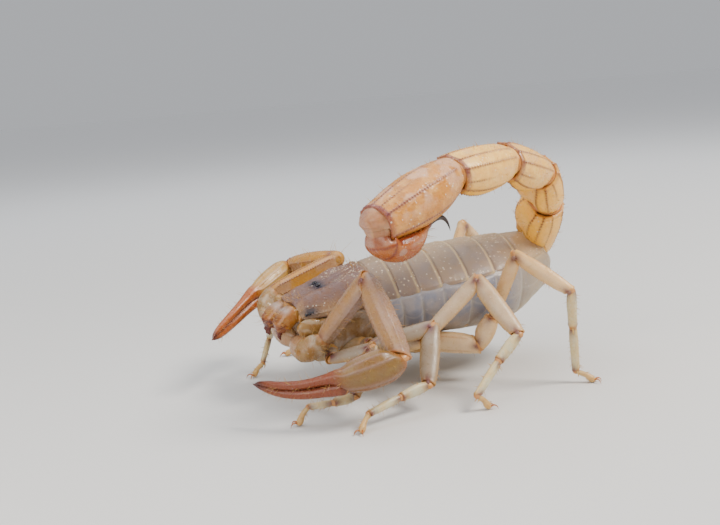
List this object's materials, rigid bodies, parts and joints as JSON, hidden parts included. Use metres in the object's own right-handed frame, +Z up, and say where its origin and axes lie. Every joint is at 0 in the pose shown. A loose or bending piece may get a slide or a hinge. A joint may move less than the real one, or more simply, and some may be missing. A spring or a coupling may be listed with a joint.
{
  "type": "desert scorpion",
  "caption": "Desert scorpion, life size, standing alert on its legs with claws forward and the thick tail arched over its back.",
  "frame": {"origin": "middle of the ground the animal covers, at the level of the flats of its feet", "axes": "+X to the animal's left, -Y where the head points, +Z up"},
  "size_m": [0.0336, 0.0382, 0.0233],
  "materials": {
    "carapace": "semi-matt, granular",
    "back_plate": "semi-matt, granular, cream margins",
    "side_skin": "soft folded skin",
    "belly_plate": "satin",
    "comb": "satin",
    "tail_ring": "satin, red-brown toothed keels",
    "tail_ring_five": "satin, red-brown toothed keels",
    "venom_bulb": "satin to gloss",
    "sting": "gloss",
    "chelicera": "satin, dark red fingers",
    "eye": "gloss",
    "upper_limb": "satin, orange edges",
    "lower_limb": "satin, straw",
    "hand": "satin",
    "finger": "satin, orange-red"
  },
  "bodies": {
    "root": {"carapace": "carapace", "coxosternum": "belly_plate", "median_eye_l": "eye", "lateral_eyes_l": "eye", "chelicera_l": "chelicera", "pectine_l": "comb", "median_eye_r": "eye", "lateral_eyes_r": "eye", "chelicera_r": "chelicera", "pectine_r": "comb", "tergite_1": "back_plate", "tergite_2": "back_plate", "tergite_3": "back_plate", "tergite_4": "back_plate", "tergite_5": "back_plate", "tergite_6": "back_plate", "tergite_7": "back_plate", "belly": "side_skin", "sternites": "belly_plate", "metasoma_1": "tail_ring", "metasoma_2": "tail_ring", "metasoma_3": "tail_ring", "metasoma_4": "tail_ring", "metasoma_5": "tail_ring_five", "vesicle": "venom_bulb", "sting": "sting", "leg_l1_femur": "upper_limb", "leg_l1_patella": "upper_limb", "leg_l1_tarsus": "lower_limb", "leg_l2_femur": "upper_limb", "leg_l2_patella": "upper_limb", "leg_l2_tarsus": "lower_limb", "leg_l3_femur": "upper_limb", "leg_l3_patella": "upper_limb", "leg_l3_tarsus": "lower_limb", "leg_l4_femur": "upper_limb", "leg_l4_patella": "upper_limb", "leg_l4_tarsus": "lower_limb", "pedipalp_l_femur": "upper_limb", "pedipalp_l_patella": "upper_limb", "pedipalp_l_hand": "hand", "pedipalp_l_finger": "finger", "leg_r1_femur": "upper_limb", "leg_r1_patella": "upper_limb", "leg_r1_tarsus": "lower_limb", "leg_r2_femur": "upper_limb", "leg_r2_patella": "upper_limb", "leg_r2_tarsus": "lower_limb", "leg_r3_femur": "upper_limb", "leg_r3_patella": "upper_limb", "leg_r3_tarsus": "lower_limb", "leg_r4_femur": "upper_limb", "leg_r4_patella": "upper_limb", "leg_r4_tarsus": "lower_limb", "pedipalp_r_femur": "upper_limb", "pedipalp_r_patella": "upper_limb", "pedipalp_r_hand": "hand", "pedipalp_r_finger": "finger"}
  },
  "joints": []
}
